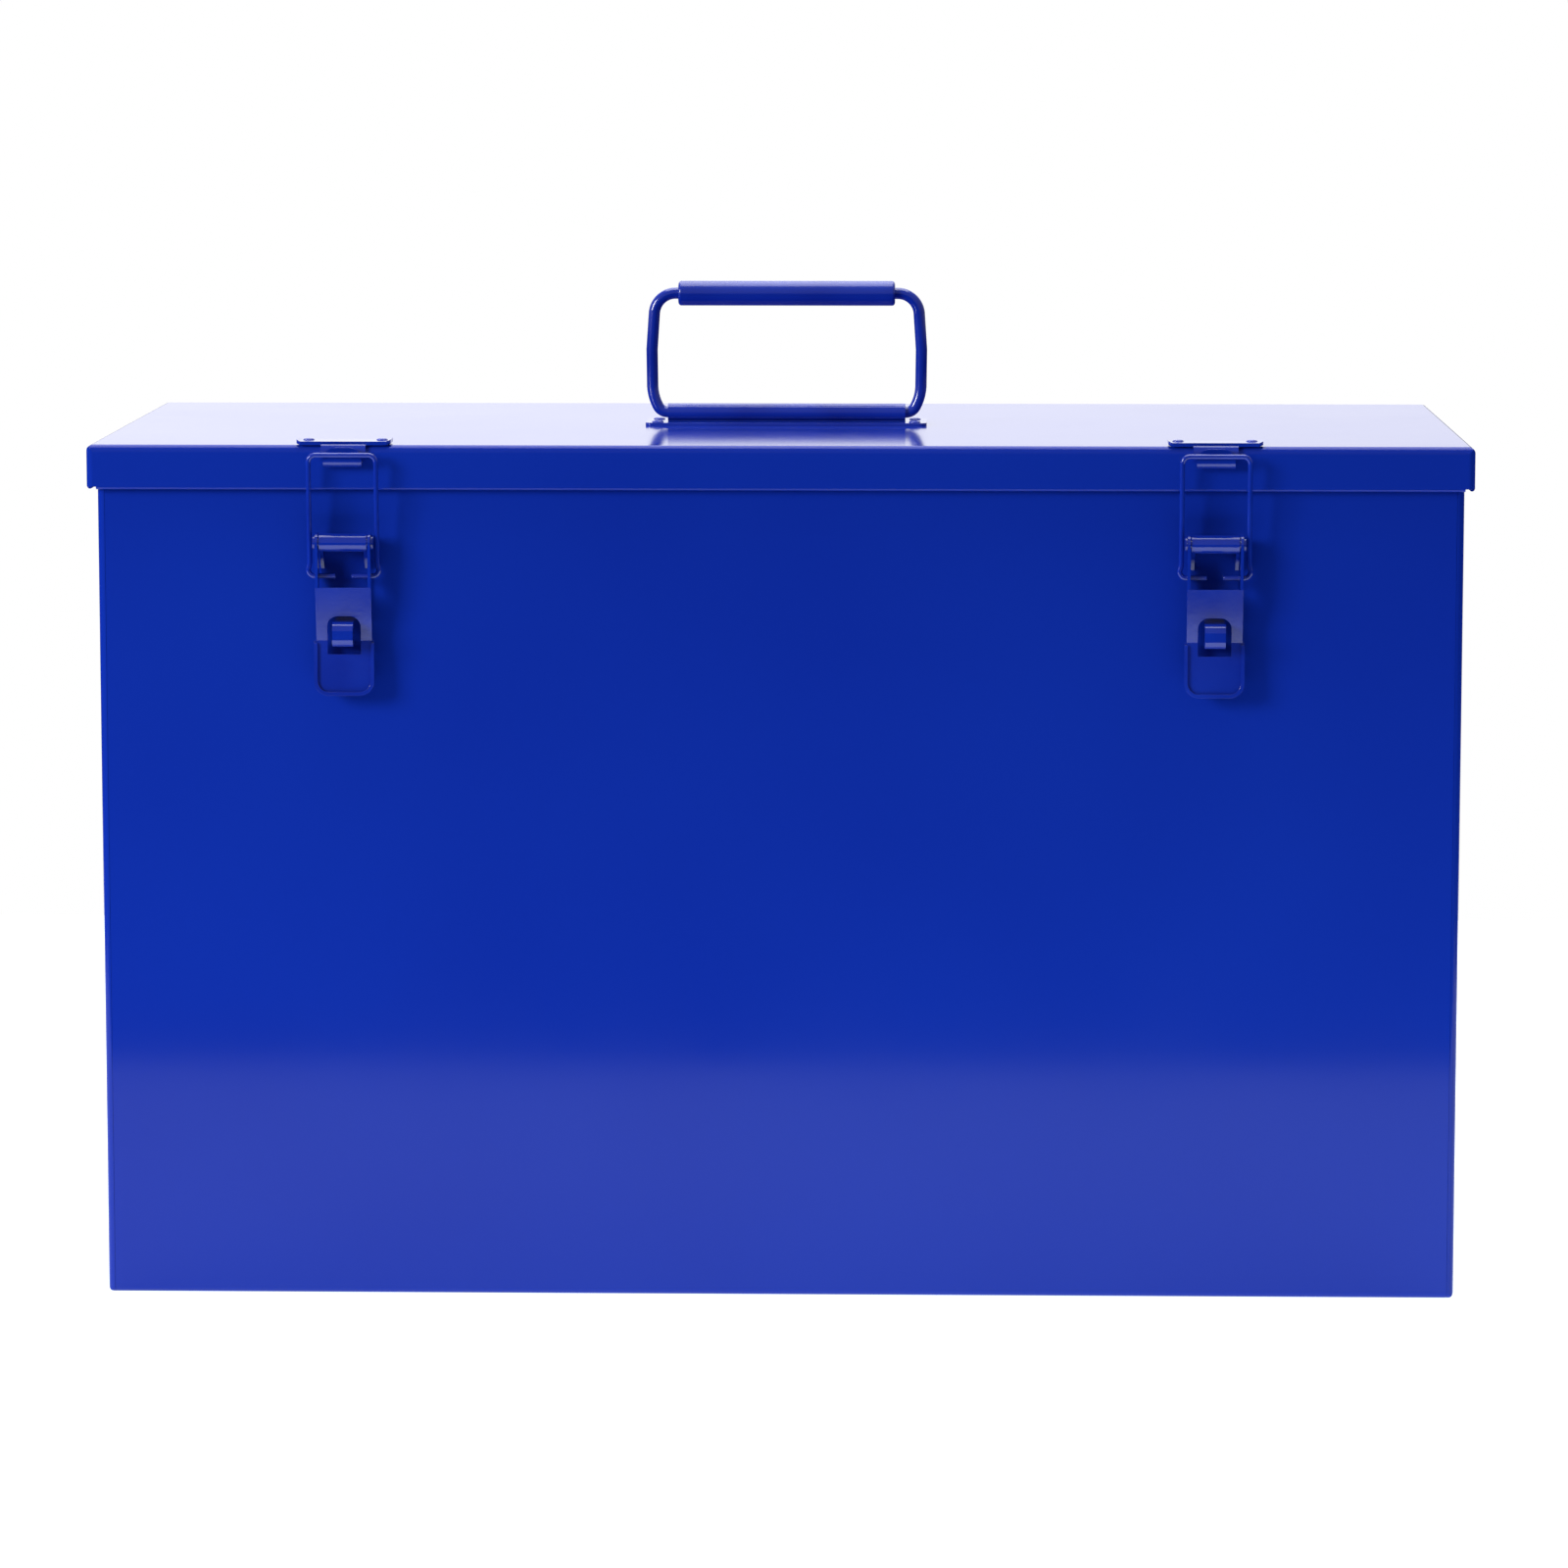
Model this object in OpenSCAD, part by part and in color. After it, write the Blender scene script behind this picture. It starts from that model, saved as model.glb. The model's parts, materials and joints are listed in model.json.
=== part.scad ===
// Portable steel drop box: folded case, skirted lid, two draw latches and a wire bail handle.
// Millimetres. +Z is up, the latches face -Y, and the origin is the middle of the case's underside.

/* [Case] */
// Width of the case
case_w = 550; // [440:1:680]
// Depth of the case
case_d = 246; // [190:1:320]
// Height from the floor to the top of the lid
total_h = 348; // [270:1:440]
// Thickness of the steel sheet
sheet = 1.0; // [0.8:0.05:1.4]
// Outside radius of the folded edges
bend_r = 3; // [2.2:0.1:4.5]
// How far each end panel wraps on to the front, the back and the bottom
end_wrap = 3; // [3:0.1:6]
// Seam between an end panel and the wrap
seam = 0.1; // [0.05:0.01:0.3]
// Width of the inner flange that joins each end panel to the wrap
flange_w = 12; // [8:0.5:18]
// Height of the folded hem at the mouth
mouth_hem = 10; // [6:0.5:14]
// Space left inside a folded hem
hem_gap = 0.2; // [0.1:0.05:0.4]

/* [Lid] */
// Height of the lid's skirt
lid_h = 18; // [16:0.5:24]
// Space between the case and the lid's skirt
lid_gap = 2.9; // [2.4:0.1:4]
// Space between the case's rim and the lid
rim_gap = 0.3; // [0.2:0.05:0.6]
// Height of the hem inside the skirt
lid_hem = 6; // [4:0.5:8]
// How far each hem stops short of a corner
hem_notch = 4; // [4:0.5:8]

/* [Hinges] */
// Distance of each hinge from the middle
hinge_x = 175; // [120:1:210]
// Length of a hinge
hinge_l = 60; // [45:1:80]
// Thickness of the hinge leaves
hinge_sheet = 1.2; // [1:0.05:1.45]
// Diameter of the hinge pin
hinge_pin_d = 3; // [2.4:0.1:3.6]
// Depth of the hinge axis below the lid's lower edge
hinge_drop = 4.5; // [4:0.1:6]
// Number of knuckles on a hinge
knuckles = 5; // [3:2:7]
// Gap between two knuckles
knuckle_gap = 0.2; // [0.15:0.05:0.4]
// Radial clearance of a moving knuckle on its pin
hinge_fit = 0.05; // [0.02:0.01:0.09]
// Height of the leaf on the case, below the axis
case_leaf_h = 25; // [20:1:32]

/* [Handle] */
// Length of the grip
grip_l = 91; // [76:1:112]
// Diameter of the grip
grip_d = 10.4; // [9:0.1:12.6]
// Wall of the grip
grip_wall = 1; // [0.8:0.1:1.3]
// Diameter of the bail's wire
bail_d = 4.8; // [4:0.1:5.8]
// Height of the grip's middle above the bail's axis
bail_rise = 49.9; // [41:0.1:60]
// Thickness of the bracket's sheet
bracket_sheet = 1.2; // [1:0.1:1.5]
// Depth of the bracket's foot, front to back
bracket_d = 28; // [23:1:34]
// How far the bracket's foot runs past the barrel at each end
bracket_ear = 9; // [8:0.5:12]
// Radial clearance of the wire in the barrel and of the grip on the wire
wire_fit = 0.08; // [0.03:0.01:0.09]

/* [Latches] */
// Distance of each latch from the middle
latch_x = 175; // [120:1:210]
// Drop of the latch pivot below the lid's lower edge
pivot_drop = 20.8; // [18:0.1:25]
// How far the latch pivot stands out from the case
pivot_out = 8; // [7.2:0.1:9.6]
// Diameter of the latch pin
latch_pin_d = 4; // [3.4:0.1:4.6]
// Width across the base plate
base_w = 19.2; // [17:0.1:21]
// Thickness of the base plate
base_sheet = 1.5; // [1.2:0.05:1.8]
// Thickness of the lever's sheet
lever_sheet = 1.2; // [1:0.05:1.45]
// Side clearance between the base and the lever
lever_gap = 0.4; // [0.3:0.05:0.6]
// Length of the lever below its pivot
lever_l = 61.9; // [54:0.1:74]
// Diameter of the loop's wire
loop_d = 2; // [1.7:0.1:2.4]
// Thickness of the keeper's sheet
keeper_sheet = 1.5; // [1.2:0.05:1.8]
// Width of the keeper's wings
keeper_w = 38; // [34:0.5:46]
// Width of the keeper's hook
hook_w = 15.4; // [13:0.1:18]
// Gap between the parked loop and the hook's lip
park_gap = 0.3; // [0.2:0.05:0.6]
// Width of the padlock staple
staple_w = 8.3; // [7:0.1:10]
// How far the padlock staple stands out from the case
staple_out = 15; // [14:0.1:18]
// Radial clearance of the lever on its pin and of the loop in the lever
latch_fit = 0.05; // [0.02:0.01:0.09]

/* [Hidden] */
$fn = 48;
eps = 0.01;
bend_step = 12;
// longer than any piece is deep or wide where a cut or an outline has to pass right through it
through = 60;

// rivets: [shank radius, head radius, head height]
rivet_fit = 0.05;
tail_h = 0.8;
tail_spread = 0.7;
hinge_rivet = [1.6, 3, 1.1];
base_rivet = [1.6, 2.6, 1];
keeper_rivet = [1.4, 2.4, 0.8];
bracket_rivet = [1.6, 2.6, 0.9];

paint = "#1c2fa8";
fold_r = sheet + hem_gap / 2;

// case and lid levels
front_y = -case_d / 2;
back_y = case_d / 2;
rim_z = total_h - sheet - rim_gap;
lid_edge_z = total_h - lid_h;
lid_out = lid_gap + sheet;
wrap_half = case_w / 2 - end_wrap;

// hinge: the case leaf lies on the case, the lid leaf on the back of the skirt
knuckle_r = hinge_pin_d / 2 + hinge_sheet;
hinge_y = back_y + knuckle_r;
hinge_z = lid_edge_z - hinge_drop;
lid_leaf_y = back_y + lid_out;
lid_leaf_top = total_h - bend_r;
knuckle_pitch = hinge_l / knuckles;
knuckle_air = 0.5;
pin_cap = 0.7;
pin_cap_spread = 0.5;
hinge_rivet_xs = [-1, 0, 1] * (hinge_l / 2 - 10);
case_leaf_rivet_z = hinge_z - case_leaf_h + 9;
lid_leaf_rivet_z = (lid_edge_z + lid_hem + lid_leaf_top) / 2 + 0.4;

// bail: five tangent stretches from the barrel to the grip
bail_r = bail_d / 2;
foot_r = 4.5;
foot_turn = 62;
haunch_r = 20;
haunch_turn = 25;
side_turn = 9;
shoulder_r = 9;
shoulder_turn = 180 - foot_turn - haunch_turn - side_turn;
haunch_from = foot_turn;
side_from = haunch_from + haunch_turn;
shoulder_from = side_from + side_turn;
foot_rise = foot_r * (1 - cos(haunch_from));
haunch_rise = haunch_r * (cos(haunch_from) - cos(side_from));
shoulder_rise = shoulder_r * (cos(shoulder_from) + 1);
side_r = (bail_rise - foot_rise - haunch_rise - shoulder_rise) / (cos(side_from) - cos(shoulder_from));
bail_spread = foot_r * sin(haunch_from) + haunch_r * (sin(side_from) - sin(haunch_from))
    + side_r * (sin(shoulder_from) - sin(side_from)) - shoulder_r * sin(shoulder_from);
grip_end_gap = 1.2;
grip_end_r = 1.3;
top_half = grip_l / 2 + grip_end_gap;
foot_x = top_half - bail_spread;
barrel_end_gap = 0.2;
barrel_half = foot_x - barrel_end_gap;
tail_gap = 3;
barrel_r = bail_r + wire_fit + bracket_sheet;
bail_z = total_h + bracket_sheet + barrel_r;
bracket_half = barrel_half + bracket_ear;
bracket_corner = 3;
bracket_rivet_x = barrel_half + 4;
bracket_rivet_y = bracket_d / 2 - 5;

// latch: measured outwards (h) from the case's front and upwards (z)
pivot_z = lid_edge_z - pivot_drop;
latch_pin_r = latch_pin_d / 2;
hood_sheet = 1.4;
hood_r = latch_pin_r + 0.3 + hood_sheet;
ear_in = base_w / 2 - hood_sheet;
pin_head = 0.8;
pin_head_spread = 1;
pin_end_gap = 0.15;
cheek_in = base_w / 2 + lever_gap;
cheek_out = cheek_in + lever_sheet;
loop_r = loop_d / 2;
link = [pivot_out - 1.5, pivot_z - 13.7];
ridge = [pivot_out + 3, pivot_z - 18];
knee = [pivot_out - 1.2, pivot_z - 39.7];
tip = [pivot_out - 0.2, pivot_z - lever_l];
tab_w = 2 * cheek_out + 1.8;
tab_r = 6;
rim_w = 1.4;
rim_h = 1;
slot_w = staple_w + 5.1;
slot_up = 6.9;
slot_down = 8.6;
slot_corner = 4.2;
staple_z = pivot_z - 36.7;
staple_h = 10;
staple_sheet = 1.7;
staple_bend = 3.5;
base_corner = 3;
base_bottom = pivot_z - 53;
base_rivet_zs = [pivot_z - 22.2, pivot_z - 48.6];
boss_in = 0.5;
pivot_boss_r = latch_pin_r + 2;

// keeper hook and the loop parked in front of its lip
trough_r = loop_r + 0.2;
trough = [lid_out + keeper_sheet + trough_r, total_h - 5.8];
lip_in = trough[0] + trough_r;
lip_out = lip_in + keeper_sheet;
lip_top = trough[1] + 5.2;
lip_corner = 5;
tongue_w = hook_w + 2.6;
keeper_d = 14;
keeper_corner = 2;
wing_tip = 1.8;
wing_up = 0.7;
keeper_rivet_x = keeper_w / 2 - 4.2;
keeper_rivet_y = front_y + 2 * fold_r + 4;
bar = [lip_out + park_gap + loop_r, trough[1] + 2.3];
link_boss_r = loop_r + 1.8;
loop_l = norm(bar - link);
loop_tilt = atan2(bar[0] - link[0], bar[1] - link[1]);
crook_r = 2.6;
crook_turn = 110;
ease_r = 8;
corner_r = 3;
crook_x = cheek_out + 0.4;
leg_x = crook_x + crook_r * sin(crook_turn) + ease_r * (sin(crook_turn) - 1);
leg_s = crook_r * (1 - cos(crook_turn)) - ease_r * cos(crook_turn);
wire_end_x = 3.2;

// ---- drawing helpers ----

// A flat outline extruded along X, its first axis on +Y and its second on +Z
module along_x(length, x = 0)
    translate([x, 0, 0]) rotate([90, 0, 90]) linear_extrude(length, center = true) children();

// A flat outline extruded along Y, its first axis on +X and its second on +Z
module along_y(length, y = 0)
    translate([0, y, 0]) rotate([90, 0, 0]) linear_extrude(length, center = true) children();

// An (h, z) outline extruded along X: h runs outwards from the case's front
module across(length, x = 0)
    translate([x, front_y, 0]) rotate([90, 0, -90]) linear_extrude(length, center = true) children();

// A U-shaped section: rounded at z_bend, square at z_open
module bent_section(w, z_bend, z_open, r) {
    up = z_open > z_bend ? 1 : -1;
    low = min(z_bend + up * r, z_open);
    translate([-w / 2, low]) square([w, abs(z_open - z_bend) - r]);
    translate([-w / 2 + r, min(z_bend, z_bend + up * r)]) square([w - 2 * r, r]);
    for (side = [-1, 1]) translate([side * (w / 2 - r), z_bend + up * r]) circle(r);
}

module round_rect(w, d, r) {
    square([w - 2 * r, d], center = true);
    square([w, d - 2 * r], center = true);
    for (x = [-1, 1], y = [-1, 1]) translate([x * (w / 2 - r), y * (d / 2 - r)]) circle(r);
}

// A block with every edge rounded but those at z_open
module bent_block(w, d, z_bend, z_open, r) {
    intersection() {
        translate([0, 0, min(z_bend, z_open)]) linear_extrude(abs(z_open - z_bend)) round_rect(w, d, r);
        along_x(w + 2) bent_section(d, z_bend, z_open, r);
        along_y(d + 2) bent_section(w, z_bend, z_open, r);
    }
}

// A folded hem: outer face on x = 0, the fold at the origin's level, the return leg on +x
module hem_section(leg) {
    translate([fold_r, fold_r]) difference() {
        circle(fold_r);
        circle(hem_gap / 2);
        translate([-2 * fold_r, 0]) square([4 * fold_r, 2 * fold_r]);
    }
    translate([0, fold_r - eps]) square([sheet, fold_r]);
    translate([sheet + hem_gap, fold_r - eps]) square([sheet, leg - fold_r]);
}

// A bent wire is a list of moves, [length, 0] for a straight and [radius, turn] for a bend to the
// left. A station on it is [x, y, heading].
function station(at, move, turn) =
    let (h = at[2], r = sign(move[1]) * move[0])
    move[1] == 0
        ? [at[0] + move[0] * cos(h), at[1] + move[0] * sin(h), h]
        : [at[0] + r * (sin(h + turn) - sin(h)), at[1] + r * (cos(h) - cos(h + turn)), h + turn];

function route(moves, at, i = 0) =
    i == len(moves) ? [at] :
    let (move = moves[i], steps = max(1, ceil(abs(move[1]) / bend_step)))
    concat([for (k = [0 : steps - 1]) k == 0 ? at : station(at, move, move[1] * k / steps)],
        route(moves, station(at, move, move[1]), i + 1));

// The same route carried on through its mirror image in the plane x = 0
function there_and_back(half) =
    concat(half, [for (i = [len(half) - 2 : -1 : 0]) [-half[i][0], half[i][1], 360 - half[i][2]]]);

module wire(stations, r, sides) {
    last = len(stations) - 1;
    points = [for (s = stations, k = [0 : sides - 1]) let (a = 360 * k / sides)
        [s[0] - r * cos(a) * sin(s[2]), s[1] + r * cos(a) * cos(s[2]), r * sin(a)]];
    walls = [for (i = [0 : last - 1], k = [0 : sides - 1]) let (n = (k + 1) % sides)
        [i * sides + k, (i + 1) * sides + k, (i + 1) * sides + n, i * sides + n]];
    start_cap = [for (k = [0 : sides - 1]) k];
    end_cap = [for (k = [sides - 1 : -1 : 0]) last * sides + k];
    polyhedron(points, concat([start_cap], walls, [end_cap]));
}

// A dome-headed rivet: the head stands on z = 0 and the shank goes down through `grip` of sheet
module rivet(kind, grip) {
    shank_r = kind[0];
    head_r = kind[1];
    head_h = kind[2];
    dome_r = (head_r * head_r + head_h * head_h) / (2 * head_h);
    intersection() {
        translate([0, 0, head_h - dome_r]) sphere(dome_r);
        cylinder(h = head_h, r = head_r);
    }
    translate([0, 0, -grip - tail_h]) cylinder(h = grip + tail_h + eps, r = shank_r);
    translate([0, 0, -grip - tail_h]) cylinder(h = tail_h, r = shank_r + tail_spread);
}

module rivet_hole(kind, reach = 4)
    translate([0, 0, -reach]) cylinder(h = 2 * reach, r = kind[0] + rivet_fit);

// ---- where rivets go: each module places its children, head outwards on +Z ----

module at_hinge_case_rivets()
    for (x = [-hinge_x, hinge_x], dx = hinge_rivet_xs)
        translate([x + dx, back_y + hinge_sheet, case_leaf_rivet_z]) rotate([-90, 0, 0]) children();

module at_hinge_lid_rivets()
    for (x = [-hinge_x, hinge_x], dx = hinge_rivet_xs)
        translate([x + dx, lid_leaf_y + hinge_sheet, lid_leaf_rivet_z]) rotate([-90, 0, 0]) children();

module at_latch_rivets()
    for (x = [-latch_x, latch_x], z = base_rivet_zs)
        translate([x, front_y - base_sheet, z]) rotate([90, 0, 0]) children();

module at_keeper_rivets()
    for (x = [-latch_x, latch_x], dx = [-keeper_rivet_x, keeper_rivet_x])
        translate([x + dx, keeper_rivet_y, total_h + keeper_sheet]) children();

module at_bracket_rivets()
    for (x = [-bracket_rivet_x, bracket_rivet_x], y = [-bracket_rivet_y, bracket_rivet_y])
        translate([x, y, total_h + bracket_sheet]) children();

// ---- case ----

module case_shell(r) {
    difference() {
        bent_block(case_w, case_d, 0, rim_z - fold_r, r);
        bent_block(case_w - 2 * sheet, case_d - 2 * sheet, sheet, rim_z + 1, r - sheet);
    }
}

module case_wrap() {
    color(paint) difference() {
        along_x(2 * wrap_half) {
            difference() {
                bent_section(case_d, 0, rim_z - fold_r, bend_r);
                bent_section(case_d - 2 * sheet, sheet, rim_z + 1, bend_r - sheet);
            }
            for (side = [0, 1]) mirror([side, 0])
                translate([front_y, rim_z]) mirror([0, 1]) hem_section(mouth_hem);
        }
        at_hinge_case_rivets() rivet_hole(hinge_rivet);
        at_latch_rivets() rivet_hole(base_rivet);
    }
}

// Folded end: a strip flush with the wrap, then a flange stepped in behind it
module end_panel(side) {
    strip_in = wrap_half + seam;
    flange_top = rim_z - mouth_hem - 1;
    inner_w = case_d - 2 * sheet;
    color(paint) scale([side, 1, 1]) {
        intersection() {
            case_shell(bend_r);
            translate([strip_in, -case_d, -1]) cube([end_wrap, 2 * case_d, total_h]);
        }
        along_x(flange_w + sheet, wrap_half - flange_w / 2 + sheet / 2 + seam) difference() {
            bent_section(inner_w, sheet, flange_top, bend_r - sheet);
            bent_section(inner_w - 2 * sheet, 2 * sheet, flange_top + 1, max(bend_r - 2 * sheet, 0.2));
        }
        along_y(case_d - 2 * bend_r) translate([case_w / 2, rim_z]) mirror([0, 1]) mirror([1, 0])
            hem_section(mouth_hem);
    }
}

// ---- hinges ----

module knuckle_slots(first, grow)
    for (i = [first : 2 : knuckles - 1])
        along_x(knuckle_pitch + grow, -hinge_l / 2 + (i + 0.5) * knuckle_pitch) children();

module hinge_case_leaf(x) {
    color(paint) translate([x, 0, 0]) difference() {
        union() {
            along_x(hinge_l - knuckle_gap)
                translate([back_y, hinge_z - case_leaf_h]) square([hinge_sheet, case_leaf_h]);
            knuckle_slots(0, -knuckle_gap) translate([hinge_y, hinge_z]) circle(knuckle_r);
        }
        knuckle_slots(1, knuckle_gap)
            translate([back_y - 1, hinge_z - knuckle_r - knuckle_air])
                square(2 * knuckle_r + knuckle_air + 2);
        along_x(hinge_l + 2) translate([hinge_y, hinge_z]) circle(hinge_pin_d / 2);
        translate([-x, 0, 0]) at_hinge_case_rivets() rivet_hole(hinge_rivet);
    }
}

module hinge_lid_leaf(x) {
    color(paint) translate([x, 0, 0]) difference() {
        union() {
            along_x(hinge_l - knuckle_gap)
                translate([lid_leaf_y, hinge_z]) square([hinge_sheet, lid_leaf_top - hinge_z]);
            knuckle_slots(1, -knuckle_gap) translate([hinge_y, hinge_z]) circle(knuckle_r);
        }
        knuckle_slots(0, knuckle_gap)
            translate([hinge_y - knuckle_r - 1, hinge_z - knuckle_r - 1])
                square([2 * knuckle_r + 2, 2 * knuckle_r + 1 + knuckle_air]);
        along_x(hinge_l + 2) translate([hinge_y, hinge_z]) circle(hinge_pin_d / 2 + hinge_fit);
        translate([-x, 0, 0]) at_hinge_lid_rivets() rivet_hole(hinge_rivet);
    }
}

module hinge_pin(x) {
    color(paint) {
        along_x(hinge_l - knuckle_gap + 2 * eps, x) translate([hinge_y, hinge_z]) circle(hinge_pin_d / 2);
        for (side = [-1, 1])
            along_x(pin_cap, x + side * (hinge_l - knuckle_gap + pin_cap) / 2)
                translate([hinge_y, hinge_z]) circle(hinge_pin_d / 2 + pin_cap_spread);
    }
}

module hinge_case_rivets()
    color(paint) at_hinge_case_rivets() rivet(hinge_rivet, hinge_sheet + sheet);

module hinge_lid_rivets()
    color(paint) at_hinge_lid_rivets() rivet(hinge_rivet, hinge_sheet + sheet);

// ---- lid ----

module lid_pan() {
    w = case_w + 2 * lid_out;
    d = case_d + 2 * lid_out;
    color(paint) difference() {
        union() {
            difference() {
                bent_block(w, d, total_h, lid_edge_z + fold_r, bend_r);
                bent_block(w - 2 * sheet, d - 2 * sheet, total_h - sheet, lid_edge_z - 1, bend_r - sheet);
            }
            for (side = [0, 1]) mirror([0, side, 0])
                along_x(w - 2 * hem_notch) translate([-d / 2, lid_edge_z]) hem_section(lid_hem);
            for (side = [0, 1]) mirror([side, 0, 0])
                along_y(d - 2 * hem_notch) translate([-w / 2, lid_edge_z]) hem_section(lid_hem);
        }
        at_hinge_lid_rivets() rivet_hole(hinge_rivet);
        at_keeper_rivets() rivet_hole(keeper_rivet);
        at_bracket_rivets() rivet_hole(bracket_rivet);
    }
}

// The keeper's plate from the front: flat, with both wing tips turned up a little
module wing_section() {
    flat = keeper_w / 2 - wing_tip;
    tip = keeper_w / 2;
    polygon([[-tip, wing_up], [-flat, 0], [flat, 0], [tip, wing_up],
        [tip, keeper_sheet + wing_up], [flat, keeper_sheet], [-flat, keeper_sheet],
        [-tip, keeper_sheet + wing_up]]);
}

// Wing plate on the lid, turned down over the skirt and up again into a hook
module keeper(x) {
    color(paint) difference() {
        union() {
            translate([x, front_y - lid_out + keeper_d / 2, total_h]) intersection() {
                along_y(keeper_d) wing_section();
                linear_extrude(keeper_sheet + wing_up) round_rect(keeper_w, keeper_d, keeper_corner);
            }
            across(tongue_w, x) {
                intersection() {
                    translate([lid_out - bend_r, total_h - bend_r]) difference() {
                        circle(bend_r + keeper_sheet);
                        circle(bend_r);
                    }
                    translate([lid_out - bend_r, total_h - bend_r]) square(2 * bend_r + keeper_sheet);
                }
                translate([lid_out, trough[1]]) square([keeper_sheet, total_h - bend_r - trough[1]]);
            }
            across(hook_w, x) translate(trough) difference() {
                circle(trough_r + keeper_sheet);
                circle(trough_r);
                translate([-trough_r - 2 * keeper_sheet, 0]) square(2 * trough_r + 4 * keeper_sheet);
            }
            intersection() {
                across(hook_w, x) translate([lip_in, trough[1] - eps])
                    square([keeper_sheet, lip_top - trough[1] + eps]);
                along_y(through, front_y) translate([x, 0])
                    bent_section(hook_w, lip_top, trough[1] - 1, lip_corner);
            }
        }
        at_keeper_rivets() rivet_hole(keeper_rivet);
    }
}

module keeper_rivets() color(paint) at_keeper_rivets() rivet(keeper_rivet, keeper_sheet + sheet);

// ---- handle ----

module handle_bracket() {
    color(paint) difference() {
        union() {
            translate([0, 0, total_h])
                linear_extrude(bracket_sheet) round_rect(2 * bracket_half, bracket_d, bracket_corner);
            along_x(2 * barrel_half) {
                translate([0, bail_z]) circle(barrel_r);
                translate([-bracket_sheet, total_h + bracket_sheet / 2])
                    square([2 * bracket_sheet, barrel_r]);
            }
        }
        along_x(2 * barrel_half + 2) translate([0, bail_z]) circle(bail_r + wire_fit);
        at_bracket_rivets() rivet_hole(bracket_rivet);
    }
}

module bracket_rivets() color(paint) at_bracket_rivets() rivet(bracket_rivet, bracket_sheet + sheet);

module handle_bail() {
    half = route([[foot_x - tail_gap, 0], [foot_r, foot_turn], [haunch_r, haunch_turn],
        [side_r, side_turn], [shoulder_r, shoulder_turn], [top_half, 0]], [tail_gap, 0, 0]);
    color(paint) translate([0, 0, bail_z]) rotate([90, 0, 0])
        wire(there_and_back(half), bail_r, 24);
}

// A rolled tube, closed down on to the wire at both ends
module handle_grip() {
    outer = grip_d / 2;
    bore = bail_r + wire_fit;
    color(paint) translate([0, 0, bail_z + bail_rise]) rotate([0, 90, 0]) rotate_extrude() {
        translate([outer - grip_wall, -grip_l / 2 + grip_end_r])
            square([grip_wall, grip_l - 2 * grip_end_r]);
        for (side = [0, 1]) mirror([0, side]) translate([0, grip_l / 2 - grip_end_r]) {
            plate_w = outer - grip_end_r - bore;
            translate([bore, grip_end_r - grip_wall]) square([plate_w, grip_wall]);
            translate([bore, -grip_wall]) square([grip_wall, grip_end_r + grip_wall]);
            translate([outer - grip_end_r, 0]) intersection() {
                circle(grip_end_r);
                square(grip_end_r);
            }
        }
    }
}

// ---- latches ----

module latch_base(x) {
    color(paint) difference() {
        union() {
            along_y(base_sheet, front_y - base_sheet / 2) translate([x, 0])
                bent_section(base_w, base_bottom, pivot_z + 2, base_corner);
            for (side = [-1, 1])
                across(hood_sheet, x + side * (ear_in + hood_sheet / 2)) {
                    polygon([[boss_in, pivot_z - 11], [base_sheet, pivot_z - 11],
                        [pivot_out, pivot_z - hood_r], [pivot_out, pivot_z + hood_r],
                        [boss_in, pivot_z + 2]]);
                    translate([pivot_out, pivot_z]) circle(hood_r);
                }
            across(base_w - 1, x) intersection() {
                translate([pivot_out, pivot_z]) difference() {
                    circle(hood_r);
                    circle(hood_r - hood_sheet);
                }
                translate([pivot_out - hood_r / 2, pivot_z - hood_r]) square(2 * hood_r);
            }
            across(staple_w, x) difference() {
                translate([boss_in, staple_z - staple_h / 2])
                    square([staple_out - staple_bend - boss_in, staple_h]);
                translate([0, staple_z - staple_h / 2 + staple_sheet])
                    square([staple_out, staple_h - 2 * staple_sheet]);
            }
            across(staple_w, x) translate([staple_out - staple_bend, staple_z]) rotate(-90) difference() {
                bent_section(staple_h, staple_bend, -eps, staple_bend);
                bent_section(staple_h - 2 * staple_sheet, staple_bend - staple_sheet, -1,
                    staple_bend - staple_sheet);
            }
        }
        across(base_w + 4, x) translate([pivot_out, pivot_z]) circle(latch_pin_r);
        at_latch_rivets() rivet_hole(base_rivet);
    }
}

module latch_pin(x) {
    reach = cheek_out + pin_end_gap;
    color(paint) {
        across(2 * reach + 2 * eps, x) translate([pivot_out, pivot_z]) circle(latch_pin_r);
        for (side = [-1, 1])
            across(pin_head, x + side * (reach + pin_head / 2))
                translate([pivot_out, pivot_z]) circle(latch_pin_r + pin_head_spread);
    }
}

module latch_base_rivets()
    color(paint) at_latch_rivets() rivet(base_rivet, base_sheet + sheet);

// The (h, z) section of the lever's face: panel down to the knee, then the thumb tab
module lever_face(outer, thickness)
    polygon([ridge + [outer, 0], ridge + [outer - thickness, 0], knee + [outer - thickness, 0],
        tip + [outer - thickness, 0], tip + [outer, 0], knee + [outer, 0]]);

module lever_front(inset) {
    w = tab_w - 2 * inset;
    bent_section(w, tip[1] + inset, knee[1], tab_r - inset);
}

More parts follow.
